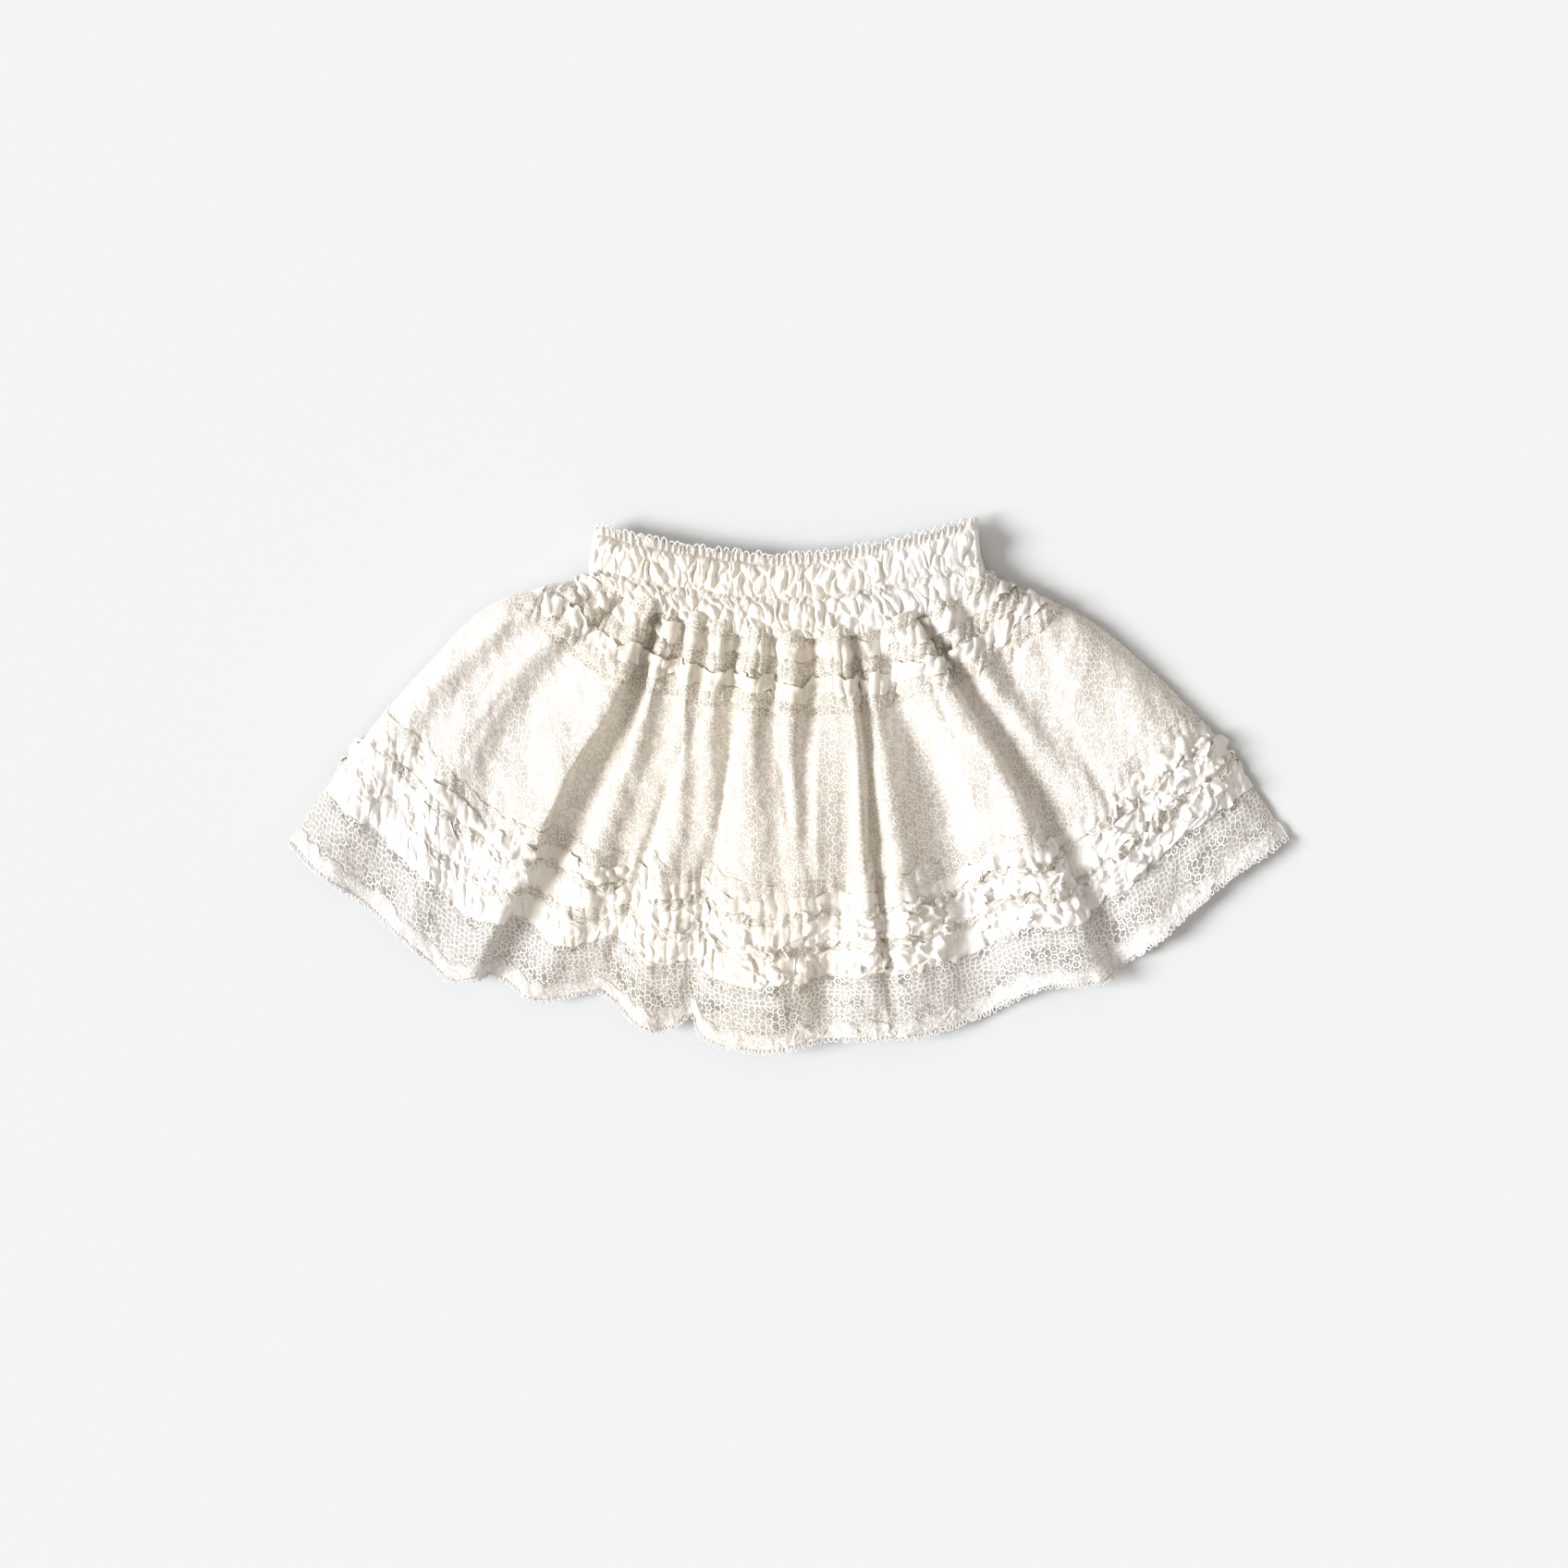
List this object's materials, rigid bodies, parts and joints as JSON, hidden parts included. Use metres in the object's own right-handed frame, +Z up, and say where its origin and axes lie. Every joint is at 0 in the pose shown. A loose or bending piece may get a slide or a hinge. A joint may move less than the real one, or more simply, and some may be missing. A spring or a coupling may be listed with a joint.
{
  "type": "lace skirt",
  "caption": "Child's gathered lace skirt laid flat, with an elastic casing and frill at the waist, satin ribbon rows, ruched bands and a lace hem.",
  "frame": {"origin": "middle of the outline, on the surface that the skirt lies on", "axes": "+Z up from the surface, +Y towards the waist, +X to the right when the skirt is seen from above with its waist at the top"},
  "size_m": [0.5047, 0.2674, 0.0228],
  "materials": {
    "lace": "soft openwork lace",
    "ribbon": "satin",
    "casing": "soft gathered cloth"
  },
  "bodies": {
    "root": {"skirt_front": "lace", "upper_ribbon_1": "ribbon", "upper_ribbon_2": "ribbon", "lower_frill": "lace", "lower_ribbon": "ribbon", "ruched_ribbon_1": "ribbon", "ruched_ribbon_2": "ribbon", "hem_edging": "lace", "back_upper_band": "lace", "skirt_back": "lace", "back_lower_band": "lace", "back_hem_band": "lace", "waist_casing_front": "casing", "waist_frill_front": "casing", "waist_back": "casing", "heading_front": "lace", "heading_back": "lace"}
  },
  "joints": []
}
